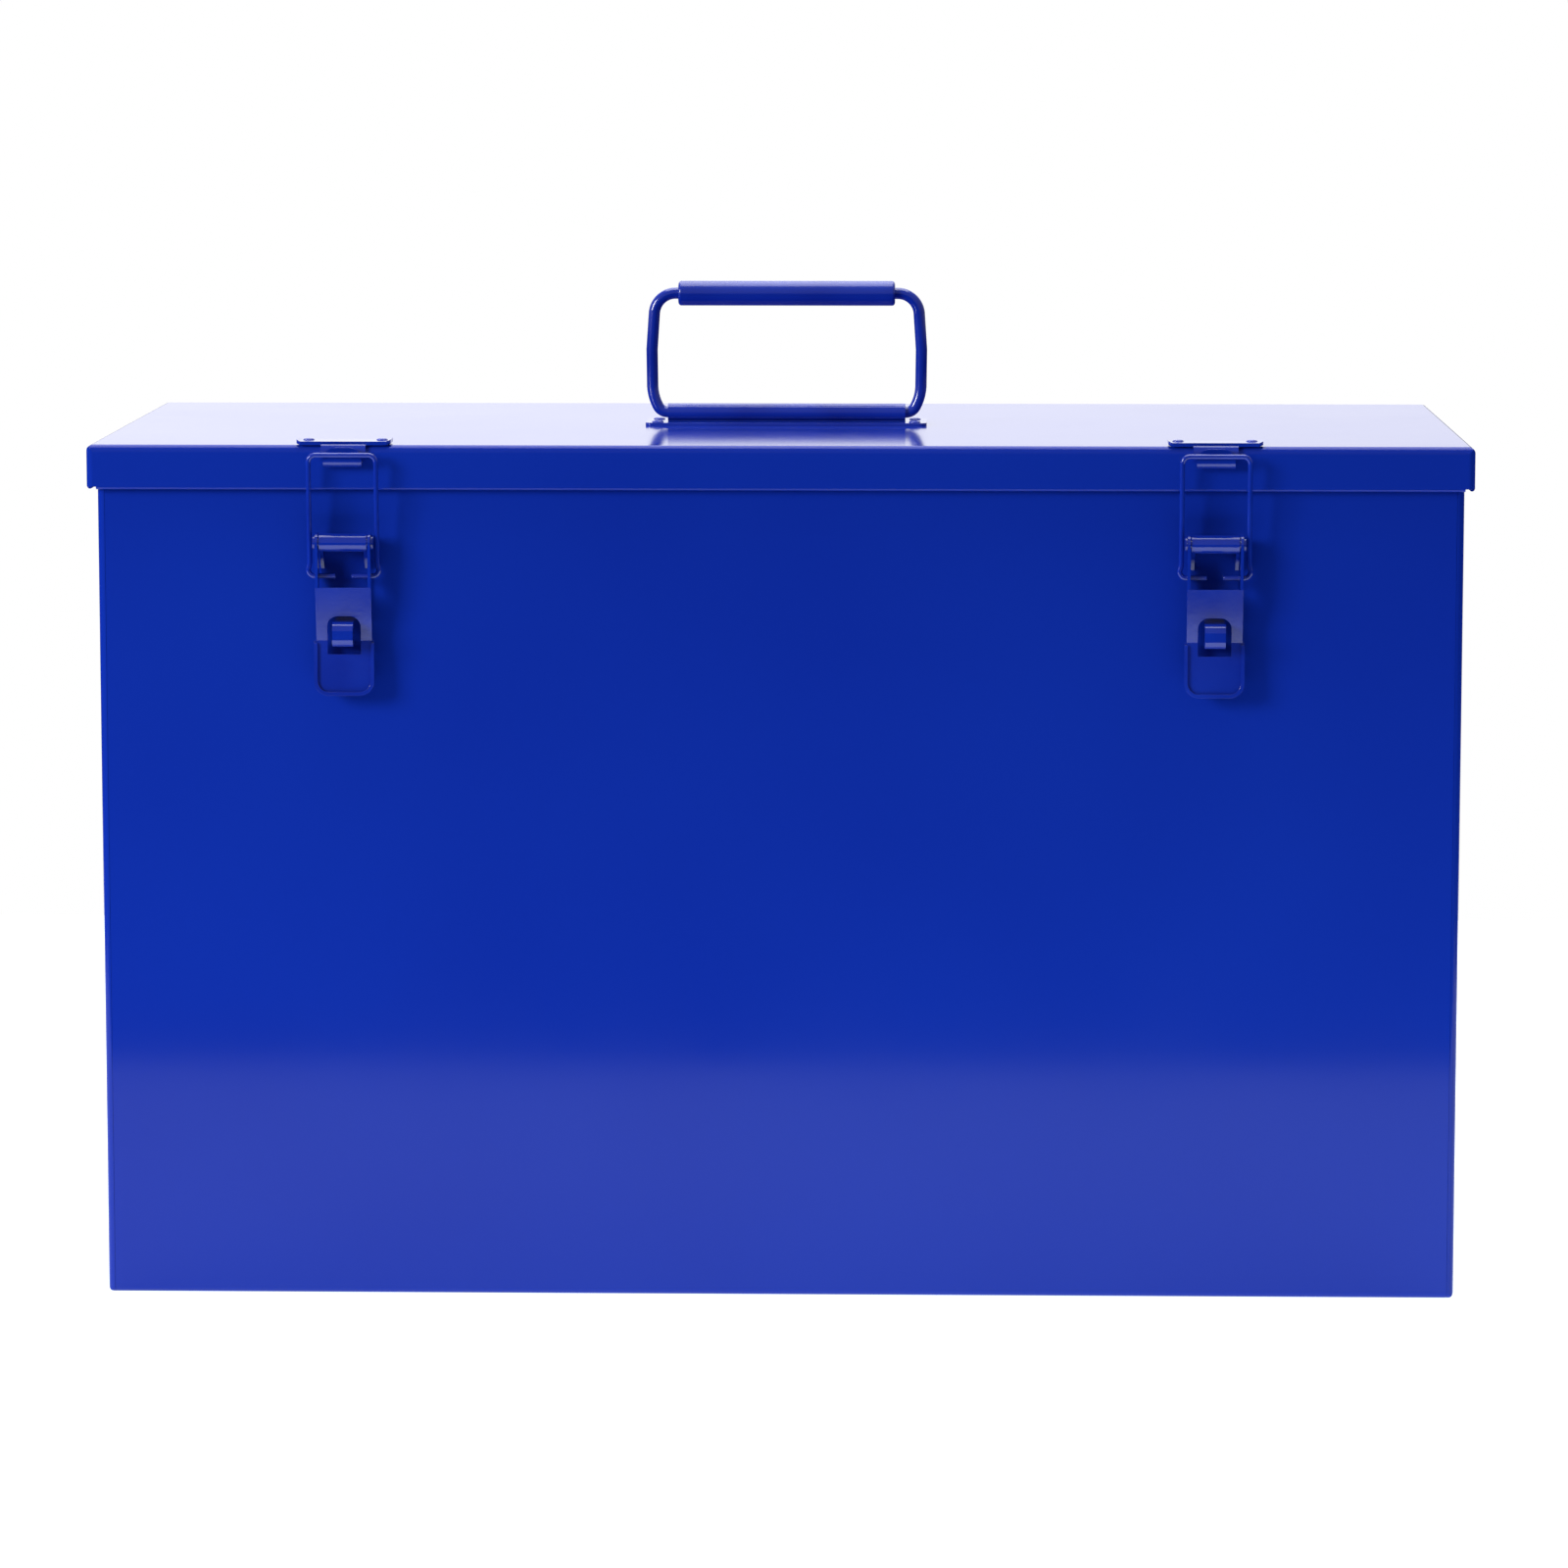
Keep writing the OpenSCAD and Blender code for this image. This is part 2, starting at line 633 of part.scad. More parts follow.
module lever(x) {
    color(paint) difference() {
        union() {
            for (side = [-1, 1])
                across(lever_sheet, x + side * (cheek_in + lever_sheet / 2)) {
                    translate([pivot_out, pivot_z]) circle(pivot_boss_r);
                    translate(link) circle(link_boss_r);
                    polygon([[pivot_out - pivot_boss_r, pivot_z], link + [-link_boss_r, 0],
                        link + [-0.5, -7], knee + [-lever_sheet, 4], knee + [0, 4], ridge,
                        [pivot_out + pivot_boss_r, pivot_z]]);
                }
            intersection() {
                across(2 * cheek_out, x) lever_face(0, lever_sheet);
                along_y(through, front_y) translate([x - cheek_out, knee[1] - 1])
                    square([2 * cheek_out, ridge[1] - knee[1] + 1]);
            }
            intersection() {
                across(tab_w, x) lever_face(0, lever_sheet);
                along_y(through, front_y) translate([x, 0]) lever_front(0);
            }
            intersection() {
                across(tab_w, x) lever_face(rim_h, lever_sheet + rim_h);
                along_y(through, front_y) translate([x, 0]) difference() {
                    lever_front(0);
                    translate([0, eps]) lever_front(rim_w);
                    translate([-tab_w / 2, knee[1] - 1]) square([tab_w, 2]);
                }
            }
        }
        across(tab_w, x) translate([pivot_out, pivot_z]) circle(latch_pin_r + latch_fit);
        across(tab_w, x) translate(link) circle(loop_r + latch_fit);
        along_y(through, front_y) translate([x, 0])
            bent_section(slot_w, staple_z + slot_up, staple_z - slot_down, slot_corner);
    }
}

// Bent from one length of wire: two ends in the lever, two legs and the bar at the hook
module loop(x) {
    half = route([[crook_x - wire_end_x, 0], [crook_r, crook_turn], [ease_r, 90 - crook_turn],
        [loop_l - leg_s - corner_r, 0], [corner_r, 90], [leg_x - corner_r, 0]], [wire_end_x, 0, 0]);
    color(paint) translate([x, front_y - link[0], link[1]]) rotate([90 + loop_tilt, 0, 0])
        wire(there_and_back(half), loop_r, 16);
}

case_wrap();
end_panel(-1);  // end_panel_left
end_panel(1);  // end_panel_right
hinge_case_leaf(-hinge_x);  // hinge_case_leaf_left
hinge_case_leaf(hinge_x);  // hinge_case_leaf_right
hinge_pin(-hinge_x);  // hinge_pin_left
hinge_pin(hinge_x);  // hinge_pin_right
hinge_case_rivets();
latch_base(-latch_x);  // latch_base_left
latch_base(latch_x);  // latch_base_right
latch_pin(-latch_x);  // latch_pin_left
latch_pin(latch_x);  // latch_pin_right
latch_base_rivets();
lid_pan();
keeper(-latch_x);  // keeper_left
keeper(latch_x);  // keeper_right
keeper_rivets();
hinge_lid_leaf(-hinge_x);  // hinge_lid_leaf_left
hinge_lid_leaf(hinge_x);  // hinge_lid_leaf_right
hinge_lid_rivets();
handle_bracket();
bracket_rivets();
handle_bail();
handle_grip();
lever(-latch_x);  // lever_left
lever(latch_x);  // lever_right
loop(-latch_x);  // loop_left
loop(latch_x);  // loop_right
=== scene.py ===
import math
import json
import bpy
import bmesh
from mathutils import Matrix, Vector


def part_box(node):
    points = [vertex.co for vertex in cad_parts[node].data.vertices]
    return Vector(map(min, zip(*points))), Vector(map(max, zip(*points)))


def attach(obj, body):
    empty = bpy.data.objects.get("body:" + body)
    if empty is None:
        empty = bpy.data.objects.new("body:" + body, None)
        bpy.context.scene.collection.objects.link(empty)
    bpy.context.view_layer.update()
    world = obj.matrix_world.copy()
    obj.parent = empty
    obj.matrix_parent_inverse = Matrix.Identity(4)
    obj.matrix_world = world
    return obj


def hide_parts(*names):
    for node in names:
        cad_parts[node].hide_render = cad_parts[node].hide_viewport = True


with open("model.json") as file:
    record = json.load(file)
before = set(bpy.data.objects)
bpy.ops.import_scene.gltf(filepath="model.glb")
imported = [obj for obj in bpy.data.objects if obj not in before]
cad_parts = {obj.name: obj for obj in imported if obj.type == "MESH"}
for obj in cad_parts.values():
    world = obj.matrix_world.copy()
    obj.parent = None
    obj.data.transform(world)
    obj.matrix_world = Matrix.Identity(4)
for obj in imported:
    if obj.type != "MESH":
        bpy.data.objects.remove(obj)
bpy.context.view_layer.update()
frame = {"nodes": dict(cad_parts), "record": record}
nodes = frame["nodes"]
print("stage: frame loaded,", len(nodes), "CAD nodes")

mm = 0.001
bodyOf = {n: b for b, members in frame["record"]["behaviour"]["bodies"].items() for n in members}
slotOf = {s["node"]: s["material_slot"] for s in frame["record"]["subparts"]}
sides = ("left", "right")


def linear(hexColour):
    # sRGB hex to the linear values that Blender works in
    parts = [int(hexColour[i:i + 2], 16) / 255 for i in (1, 3, 5)]
    return tuple(c / 12.92 if c <= 0.04045 else ((c + 0.055) / 1.055) ** 2.4 for c in parts) + (1.0,)


def addNode(tree, kind, settings=None, links=None):
    # links: input name or number -> a value, or (node, output name or number)
    node = tree.nodes.new(kind)
    for key, value in (settings or {}).items():
        setattr(node, key, value)
    for key, value in (links or {}).items():
        if isinstance(value, tuple) and hasattr(value[0], "outputs"):
            tree.links.new(value[0].outputs[value[1]], node.inputs[key])
        else:
            node.inputs[key].default_value = value
    return node


def linkObject(name, data):
    obj = bpy.data.objects.new(name, data)
    bpy.context.scene.collection.objects.link(obj)
    return obj


def bakedMesh(obj, name):
    # the evaluated object as a plain mesh, and the helper object removed
    graph = bpy.context.evaluated_depsgraph_get()
    mesh = bpy.data.meshes.new_from_object(obj.evaluated_get(graph))
    mesh.name = name
    bpy.data.objects.remove(obj)
    return linkObject(name, mesh)


def newTree(name, inputs):
    # a Geometry Nodes tree with named inputs and its group input node
    tree = bpy.data.node_groups.new(name, "GeometryNodeTree")
    tree.interface.new_socket("Geometry", in_out="INPUT", socket_type="NodeSocketGeometry")
    tree.interface.new_socket("Geometry", in_out="OUTPUT", socket_type="NodeSocketGeometry")
    for label, kind in inputs.items():
        tree.interface.new_socket(label, in_out="INPUT", socket_type=kind)
    return tree, tree.nodes.new("NodeGroupInput")


def formedBy(tree, obj, name, values):
    # the object run through the tree, its inputs set by their identifiers
    form = obj.modifiers.new(tree.name, "NODES")
    form.node_group = tree
    for socket in tree.interface.items_tree:
        if socket.in_out == "INPUT" and socket.name in values:
            form[socket.identifier] = values[socket.name]
    return bakedMesh(obj, name)


def standsFor(piece, nodeNames, body):
    # a Blender piece that takes the place of CAD nodes on one body
    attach(piece, body)
    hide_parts(*nodeNames)
    return piece


# what all the paint has in common: the ranges are the parts of each noise that show
coating = {"ior": 1.5, "toneFrom": 0.3, "toneTo": 0.7, "hazeFrom": 0.3, "hazeTo": 0.75}


def powderCoat(name, look):
    # Gloss polyester powder coat, sprayed and baked: a smooth deep colour with a faint orange peel
    mat = bpy.data.materials.new(name)
    mat.use_nodes = True
    tree = mat.node_tree
    tree.nodes.clear()
    place = addNode(tree, "ShaderNodeTexCoord")
    # film thickness drifts over the sheet, so the blue is a touch deeper in places
    drift = addNode(tree, "ShaderNodeTexNoise", {}, {
        "Vector": (place, "Object"), "Scale": 1 / look["drift"], "Detail": 2.0, "Roughness": 0.5})
    tone = addNode(tree, "ShaderNodeValToRGB", {}, {0: (drift, 0)})
    tone.color_ramp.elements[0].position = coating["toneFrom"]
    tone.color_ramp.elements[0].color = linear(look["deep"])
    tone.color_ramp.elements[1].position = coating["toneTo"]
    tone.color_ramp.elements[1].color = linear(look["colour"])
    # handling haze: soft patches where the gloss is a little lower
    haze = addNode(tree, "ShaderNodeTexNoise", {}, {
        "Vector": (place, "Object"), "Scale": 1 / look["haze"], "Detail": 4.0, "Roughness": 0.6})
    gloss = addNode(tree, "ShaderNodeMapRange", {}, {
        0: (haze, 0), 1: coating["hazeFrom"], 2: coating["hazeTo"],
        3: look["rough"], 4: look["rough"] + look["roughSpread"]})
    # orange peel: ripples a couple of millimetres apart; flow: the sheet's own slow waviness
    peel = addNode(tree, "ShaderNodeTexNoise", {}, {
        "Vector": (place, "Object"), "Scale": 1 / look["peel"], "Detail": 1.5, "Roughness": 0.45})
    flow = addNode(tree, "ShaderNodeTexNoise", {}, {
        "Vector": (place, "Object"), "Scale": 1 / look["flow"], "Detail": 1.0, "Roughness": 0.4})
    flowBump = addNode(tree, "ShaderNodeBump", {}, {
        "Height": (flow, 0), "Distance": look["flowDepth"], "Strength": 1.0})
    peelBump = addNode(tree, "ShaderNodeBump", {}, {
        "Height": (peel, 0), "Distance": look["peelDepth"], "Strength": 1.0, "Normal": (flowBump, 0)})
    coat = addNode(tree, "ShaderNodeBsdfPrincipled", {}, {
        "Base Color": (tone, 0), "Roughness": (gloss, 0), "Normal": (peelBump, 0),
        "IOR": coating["ior"], "Specular IOR Level": look["shine"], "Metallic": 0.0})
    addNode(tree, "ShaderNodeOutputMaterial", {}, {"Surface": (coat, 0)})
    return mat


sheetLook = {"colour": "#0F2E9F", "deep": "#0D2998", "shine": 0.20, "drift": 0.22, "haze": 0.09,
             "rough": 0.085, "roughSpread": 0.035, "peel": 2.6 * mm, "peelDepth": 0.005 * mm,
             "flow": 0.16, "flowDepth": 0.10 * mm}
hardwareLook = {"colour": "#1030A4", "deep": "#0B2590", "shine": 0.62, "drift": 0.03, "haze": 0.02,
                "rough": 0.085, "roughSpread": 0.05, "peel": 1.6 * mm, "peelDepth": 0.008 * mm,
                "flow": 0.02, "flowDepth": 0.03 * mm}
wireLook = dict(hardwareLook, peel=1.2 * mm, peelDepth=0.006 * mm, rough=0.13)
gripLook = dict(hardwareLook, peel=1.8 * mm, peelDepth=0.008 * mm, rough=0.20, drift=0.05)

sheetPaint = powderCoat("gloss_powder_coat_on_folded_sheet", sheetLook)
hardwarePaint = powderCoat("gloss_powder_coat_on_pressed_hardware", hardwareLook)
wirePaint = powderCoat("gloss_powder_coat_on_bent_wire", wireLook)
gripPaint = powderCoat("gloss_powder_coat_on_rolled_grip", gripLook)
rivetPaint = powderCoat("gloss_powder_coat_over_rivets", dict(hardwareLook, peel=1.0 * mm))
paintOf = {"case_sheet": sheetPaint, "hardware": hardwarePaint, "wire": wirePaint, "grip": gripPaint,
           "fastener": rivetPaint}
print("stage: materials")


# the edge rounding that sprayed paint gives each kind of sheet, and the angles that count as an edge
finish = {"case_sheet": 0.3 * mm, "hardware": 0.38 * mm, "segments": 3, "edgeAngle": 38,
          "merge": 0.02 * mm, "noWidth": 0.002 * mm, "flat": 0.6, "hardAngle": 50,
          "creaseAngle": 4, "creaseWidth": 2.0 * mm}


def markCreases(mesh):
    # sharp where the sheet turns hard, or where two wide flats meet at a slight fold
    work = bmesh.new()
    work.from_mesh(mesh)
    # the bevel leaves a few faces of no width, which go first
    bmesh.ops.dissolve_degenerate(work, dist=finish["noWidth"], edges=work.edges)
    for face in work.faces:
        face.smooth = True
    for edge in work.edges:
        if len(edge.link_faces) != 2:
            continue
        angle = math.degrees(edge.calc_face_angle())
        wide = min(face.calc_area() for face in edge.link_faces) > finish["creaseWidth"] * edge.calc_length()
        edge.smooth = angle < finish["hardAngle"] and not (wide and angle > finish["creaseAngle"])
    work.to_mesh(mesh)
    work.free()


def finishedCopy(nodeName):
    # the CAD shape with its loose facets merged and its sheared edges rounded
    slotName = slotOf[nodeName]
    work = bmesh.new()
    work.from_mesh(nodes[nodeName].data)
    bmesh.ops.remove_doubles(work, verts=work.verts, dist=finish["merge"])
    bmesh.ops.dissolve_limit(work, angle_limit=math.radians(finish["flat"]), verts=work.verts,
                             edges=work.edges)
    mesh = bpy.data.meshes.new(nodeName + "_merged")
    work.to_mesh(mesh)
    work.free()
    mesh.materials.clear()
    mesh.materials.append(paintOf[slotName])
    piece = linkObject(nodeName + "_merged", mesh)
    bevel = piece.modifiers.new("edge", "BEVEL")
    bevel.width = finish[slotName]
    bevel.segments = finish["segments"]
    bevel.limit_method = "ANGLE"
    bevel.angle_limit = math.radians(finish["edgeAngle"])
    piece = bakedMesh(piece, nodeName + "_bevelled")
    markCreases(piece.data)
    piece.modifiers.new("flats", "WEIGHTED_NORMAL").keep_sharp = True
    piece = bakedMesh(piece, nodeName + "_painted")
    return standsFor(piece, [nodeName], bodyOf[nodeName])


for nodeName, slotName in slotOf.items():
    if slotName in ("case_sheet", "hardware"):
        finishedCopy(nodeName)
    else:
        nodes[nodeName].data.materials.clear()
        nodes[nodeName].data.materials.append(paintOf[slotName])
print("stage: painted sheet and hardware")


def wireTree():
    # sweeps a round wire along the edges it is given, and closes its ends
    tree, source = newTree("bentWire", {"Wire Diameter": "NodeSocketFloat", "Sides": "NodeSocketInt",
                                        "Finish": "NodeSocketMaterial"})
    half = addNode(tree, "ShaderNodeMath", {"operation": "MULTIPLY"},
                   {0: (source, "Wire Diameter"), 1: 0.5})
    ring = addNode(tree, "GeometryNodeCurvePrimitiveCircle", {"mode": "RADIUS"},
                   {"Resolution": (source, "Sides"), "Radius": (half, 0)})
    line = addNode(tree, "GeometryNodeMeshToCurve", {}, {"Mesh": (source, "Geometry")})
    swept = addNode(tree, "GeometryNodeCurveToMesh", {},
                    {"Curve": (line, 0), "Profile Curve": (ring, 0), "Fill Caps": True})
    smooth = addNode(tree, "GeometryNodeSetShadeSmooth", {}, {"Geometry": (swept, 0)})
    whole = addNode(tree, "GeometryNodeRealizeInstances", {}, {"Geometry": (smooth, 0)})
    painted = addNode(tree, "GeometryNodeSetMaterial", {},
                      {"Geometry": (whole, 0), "Material": (source, "Finish")})
    addNode(tree, "NodeGroupOutput", {}, {"Geometry": (painted, 0)})
    return tree


bentWire = wireTree()
wireMaking = {"sides": 32, "bendStep": 5, "endRound": 0.35 * mm, "endSegments": 2, "endAngle": 60}


def wirePoints(moves, startX):
    # centre line of a bent wire in its own plane, half of it made and then mirrored:
    # (length, 0) goes straight and (radius, turn in degrees) bends to the left
    x, y, heading = startX, 0.0, 0.0
    half = [(x, y)]
    for size, turn in moves:
        steps = max(1, math.ceil(abs(turn) / wireMaking["bendStep"]))
        radius = math.copysign(size, turn)
        for step in range(steps):
            ahead = heading + math.radians(turn) / steps
            if turn == 0:
                x, y = x + size * math.cos(heading), y + size * math.sin(heading)
            else:
                x += radius * (math.sin(ahead) - math.sin(heading))
                y += radius * (math.cos(heading) - math.cos(ahead))
            heading = ahead
            half.append((x, y))
    return half + [(-px, py) for px, py in reversed(half[:-1])]


def wirePiece(name, nodeName, points, diameter):
    path = bpy.data.meshes.new(name + "_path")
    path.from_pydata(points, [(i, i + 1) for i in range(len(points) - 1)], [])
    swept = formedBy(bentWire, linkObject(name + "_path", path), name + "_swept", {
        "Wire Diameter": diameter, "Sides": wireMaking["sides"], "Finish": paintOf["wire"]})
    ends = swept.modifiers.new("ends", "BEVEL")
    ends.width = wireMaking["endRound"]
    ends.segments = wireMaking["endSegments"]
    ends.limit_method = "ANGLE"
    ends.angle_limit = math.radians(wireMaking["endAngle"])
    return standsFor(bakedMesh(swept, name), [nodeName], bodyOf[nodeName])


# carrying bail: its two ends nearly meet inside the barrel; radii in mm, turns in degrees
bail = {"tailGap": 3.0, "foot": (4.5, 62), "haunch": (20.0, 25), "sideTurn": 9, "shoulder": 9.0,
        "pastGrip": 1.2}


def makeBail():
    low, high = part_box("handle_bail")
    gripLow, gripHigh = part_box("handle_grip")
    rod = high[1] - low[1]
    rise = high[2] - low[2] - rod
    footR, footTurn = bail["foot"][0] * mm, bail["foot"][1]
    haunchR, haunchTurn = bail["haunch"][0] * mm, bail["haunch"][1]
    shoulderR = bail["shoulder"] * mm
    a, b = math.radians(footTurn), math.radians(footTurn + haunchTurn)
    c = b + math.radians(bail["sideTurn"])
    footRise = footR * (1 - math.cos(a)) + haunchR * (math.cos(a) - math.cos(b))
    sideR = (rise - footRise - shoulderR * (math.cos(c) + 1)) / (math.cos(b) - math.cos(c))
    spread = (footR * math.sin(a) + haunchR * (math.sin(b) - math.sin(a))
              + sideR * (math.sin(c) - math.sin(b)) - shoulderR * math.sin(c))
    topHalf = (gripHigh[0] - gripLow[0]) / 2 + bail["pastGrip"] * mm
    tail = bail["tailGap"] * mm
    flat = wirePoints([(topHalf - spread - tail, 0), (footR, footTurn), (haunchR, haunchTurn),
                       (sideR, bail["sideTurn"]), (shoulderR, 180 - math.degrees(c)),
                       (topHalf, 0)], tail)
    middle, bottom = (low[1] + high[1]) / 2, low[2] + rod / 2
    wirePiece("carrying_bail", "handle_bail", [(x, middle, bottom + s) for x, s in flat], rod)


# draw loop: its ends are hooked into the lever's two eyes; sizes in mm, turns in degrees
drawLoop = {"wire": 2.0, "endX": 3.2, "crookX": 11.6, "crook": (2.6, 110), "ease": 8.0, "corner": 3.0}


def makeLoop(side):
    nodeName = "loop_" + side
    low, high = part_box(nodeName)
    wire = drawLoop["wire"] * mm
    link = Vector(next(j for j in frame["record"]["behaviour"]["joints"]
                       if j["child"] == nodeName)["pos_m"])
    bar = Vector((link.x, low[1] + wire / 2, high[2] - wire / 2))
    along = bar - link
    crookR, crookTurn = drawLoop["crook"][0] * mm, drawLoop["crook"][1]
    easeR, cornerR = drawLoop["ease"] * mm, drawLoop["corner"] * mm
    endX, crookX = drawLoop["endX"] * mm, drawLoop["crookX"] * mm
    turned = math.radians(crookTurn)
    legX = crookX + crookR * math.sin(turned) + easeR * (math.sin(turned) - 1)
    legStart = crookR * (1 - math.cos(turned)) - easeR * math.cos(turned)
    flat = wirePoints([(crookX - endX, 0), (crookR, crookTurn), (easeR, 90 - crookTurn),
                       (along.length - legStart - cornerR, 0), (cornerR, 90), (legX - cornerR, 0)], endX)
    way = along.normalized()
    wirePiece("draw_loop_" + side, nodeName,
              [link + Vector((x, 0, 0)) + way * s for x, s in flat], wire)


makeBail()
for side in sides:
    makeLoop(side)
print("stage: bent wires")


# grip: sheet rolled into a tube, its seam underneath, its ends closed down on to the rod; sizes in mm
grip = {"endRound": 1.3, "bore": 4.96, "wall": 1.0, "seamWidth": 0.5, "seamDepth": 0.35,
        "around": 96, "lengths": 12, "cornerStep": 15, "edgeAngle": 45}


def closedRing(name, profile, around, centre, seam):
    # a closed profile of (along X, radius) turned about X; the seam is pressed into radii above its own
    rows = []
    for step in range(around):
        angle = 2 * math.pi * step / around
        offset = abs(angle - math.pi)
        row = []
        for x, radius in profile:
            dip = 0.0
            if radius > seam["above"]:
                dip = seam["depth"] * max(0.0, 1 - (offset * radius / seam["half"]) ** 2)
            r = radius - dip
            row.append((centre[0] + x, centre[1] + r * math.sin(angle), centre[2] + r * math.cos(angle)))
        rows.append(row)
    count = len(profile)
    verts = [v for row in rows for v in row]
    faces = [(s * count + k, s * count + (k + 1) % count, ((s + 1) % around) * count + (k + 1) % count,
              ((s + 1) % around) * count + k) for s in range(around) for k in range(count)]
    mesh = bpy.data.meshes.new(name)
    mesh.from_pydata(verts, [], faces)
    work = bmesh.new()
    work.from_mesh(mesh)
    bmesh.ops.recalc_face_normals(work, faces=work.faces)
    work.to_mesh(mesh)
    work.free()
    mesh.shade_smooth()
    mesh.set_sharp_from_angle(angle=math.radians(grip["edgeAngle"]))
    return linkObject(name, mesh)


def makeGrip():
    low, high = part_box("handle_grip")
    half, outer = (high[0] - low[0]) / 2, (high[2] - low[2]) / 2
    turn, bore, wall = grip["endRound"] * mm, grip["bore"] / 2 * mm, grip["wall"] * mm
    corner = [(half - turn + turn * math.sin(t), outer - turn + turn * math.cos(t))
              for t in [math.radians(a) for a in range(0, 91, grip["cornerStep"])]]
    inner = [(half, bore), (half - turn, bore), (half - turn, bore + wall),
             (half - turn - wall, outer - wall)]
    rightEnd = corner + inner
    lengths = grip["lengths"]
    middle = [(i / lengths * (half - turn), outer) for i in range(1 - lengths, lengths)]
    profile = middle + rightEnd + [(-x, r) for x, r in reversed(rightEnd)]
    centre = [(low[i] + high[i]) / 2 for i in range(3)]
    piece = closedRing("rolled_grip", profile, grip["around"], centre,
                       {"depth": grip["seamDepth"] * mm, "half": grip["seamWidth"] / 2 * mm,
                        "above": outer - turn})
    piece.data.materials.append(paintOf["grip"])
    return standsFor(piece, ["handle_grip"], bodyOf["handle_grip"])


makeGrip()
print("stage: grip")


def studTree():
    # sets one shape on every point it is given, its +Z along the point's facing
    tree, source = newTree("setStuds", {"Stud": "NodeSocketObject", "Finish": "NodeSocketMaterial"})
    shape = addNode(tree, "GeometryNodeObjectInfo", {}, {"Object": (source, "Stud")})
    facing = addNode(tree, "GeometryNodeInputNamedAttribute", {"data_type": "FLOAT_VECTOR"},
                     {"Name": "facing"})
    aim = addNode(tree, "FunctionNodeAlignRotationToVector", {"axis": "Z"}, {"Vector": (facing, 0)})
    placed = addNode(tree, "GeometryNodeInstanceOnPoints", {}, {
        "Points": (source, "Geometry"), "Instance": (shape, "Geometry"), "Rotation": (aim, 0)})
    whole = addNode(tree, "GeometryNodeRealizeInstances", {}, {"Geometry": (placed, 0)})
    painted = addNode(tree, "GeometryNodeSetMaterial", {},
                      {"Geometry": (whole, 0), "Material": (source, "Finish")})
    addNode(tree, "NodeGroupOutput", {}, {"Geometry": (painted, 0)})
    return tree


setStuds = studTree()


# solid rivets: a low dome with a rounded rim, set over on the inside; sheets is what each one holds, in mm
rivets = {"keeper_rivets": {"facing": (0, 0, 1), "sheets": 2.5},
          "bracket_rivets": {"facing": (0, 0, 1), "sheets": 2.2},
          "latch_base_rivets": {"facing": (0, -1, 0), "sheets": 2.5},
          "hinge_case_rivets": {"facing": (0, 1, 0), "sheets": 2.2},
          "hinge_lid_rivets": {"facing": (0, 1, 0), "sheets": 2.2}}
# shank is a part of the head's radius, and rimAngles are in radians
rivetShape = {"rim": 0.22 * mm, "rimAngles": (0.8, 1.57), "domeSteps": 7, "shank": 0.55, "tail": 0.8 * mm,
              "tailSpread": 0.7 * mm, "tailRound": 0.25 * mm, "around": 28, "edgeAngle": 40}


def turnedShape(name, profile):
    # (radius, height) from the axis at the top to the axis at the foot, turned about Z
    around = rivetShape["around"]
    turns = [2 * math.pi * k / around for k in range(around)]
    verts = [(0, 0, profile[0][1])]
    for radius, height in profile[1:-1]:
        verts += [(radius * math.cos(turn), radius * math.sin(turn), height) for turn in turns]
    verts.append((0, 0, profile[-1][1]))
    rings, last = len(profile) - 2, len(verts) - 1
    faces = []
    for k in range(around):
        n = (k + 1) % around
        faces.append((0, 1 + k, 1 + n))
        for r in range(rings - 1):
            a, b = 1 + r * around, 1 + (r + 1) * around
            faces.append((a + k, b + k, b + n, a + n))
        faces.append((last, 1 + (rings - 1) * around + n, 1 + (rings - 1) * around + k))
    mesh = bpy.data.meshes.new(name)
    mesh.from_pydata(verts, [], faces)
    mesh.shade_smooth()
    mesh.set_sharp_from_angle(angle=math.radians(rivetShape["edgeAngle"]))
    return linkObject(name, mesh)


def solidBoxes(nodeName):
    # the box of each separate solid in a CAD node
    work = bmesh.new()
    work.from_mesh(nodes[nodeName].data)
    bmesh.ops.remove_doubles(work, verts=work.verts, dist=finish["merge"])
    boxes, seen = [], set()
    for vert in work.verts:
        if vert in seen:
            continue
        group, reach = [], [vert]
        seen.add(vert)
        while reach:
            v = reach.pop()
            group.append(v.co.copy())
            for edge in v.link_edges:
                other = edge.other_vert(v)
                if other not in seen:
                    seen.add(other)
                    reach.append(other)
        boxes.append([[f(co[i] for co in group) for i in range(3)] for f in (min, max)])
    work.free()
    return boxes


def studPiece(name, shape, places, facing):
    mesh = bpy.data.meshes.new(name + "_places")
    mesh.from_pydata(places, [], [])
    mark = mesh.attributes.new("facing", "FLOAT_VECTOR", "POINT")
    for item in mark.data:
        item.vector = facing
    piece = formedBy(setStuds, linkObject(name + "_places", mesh), name,
                     {"Stud": shape, "Finish": paintOf["fastener"]})
    bpy.data.objects.remove(shape)
    return piece


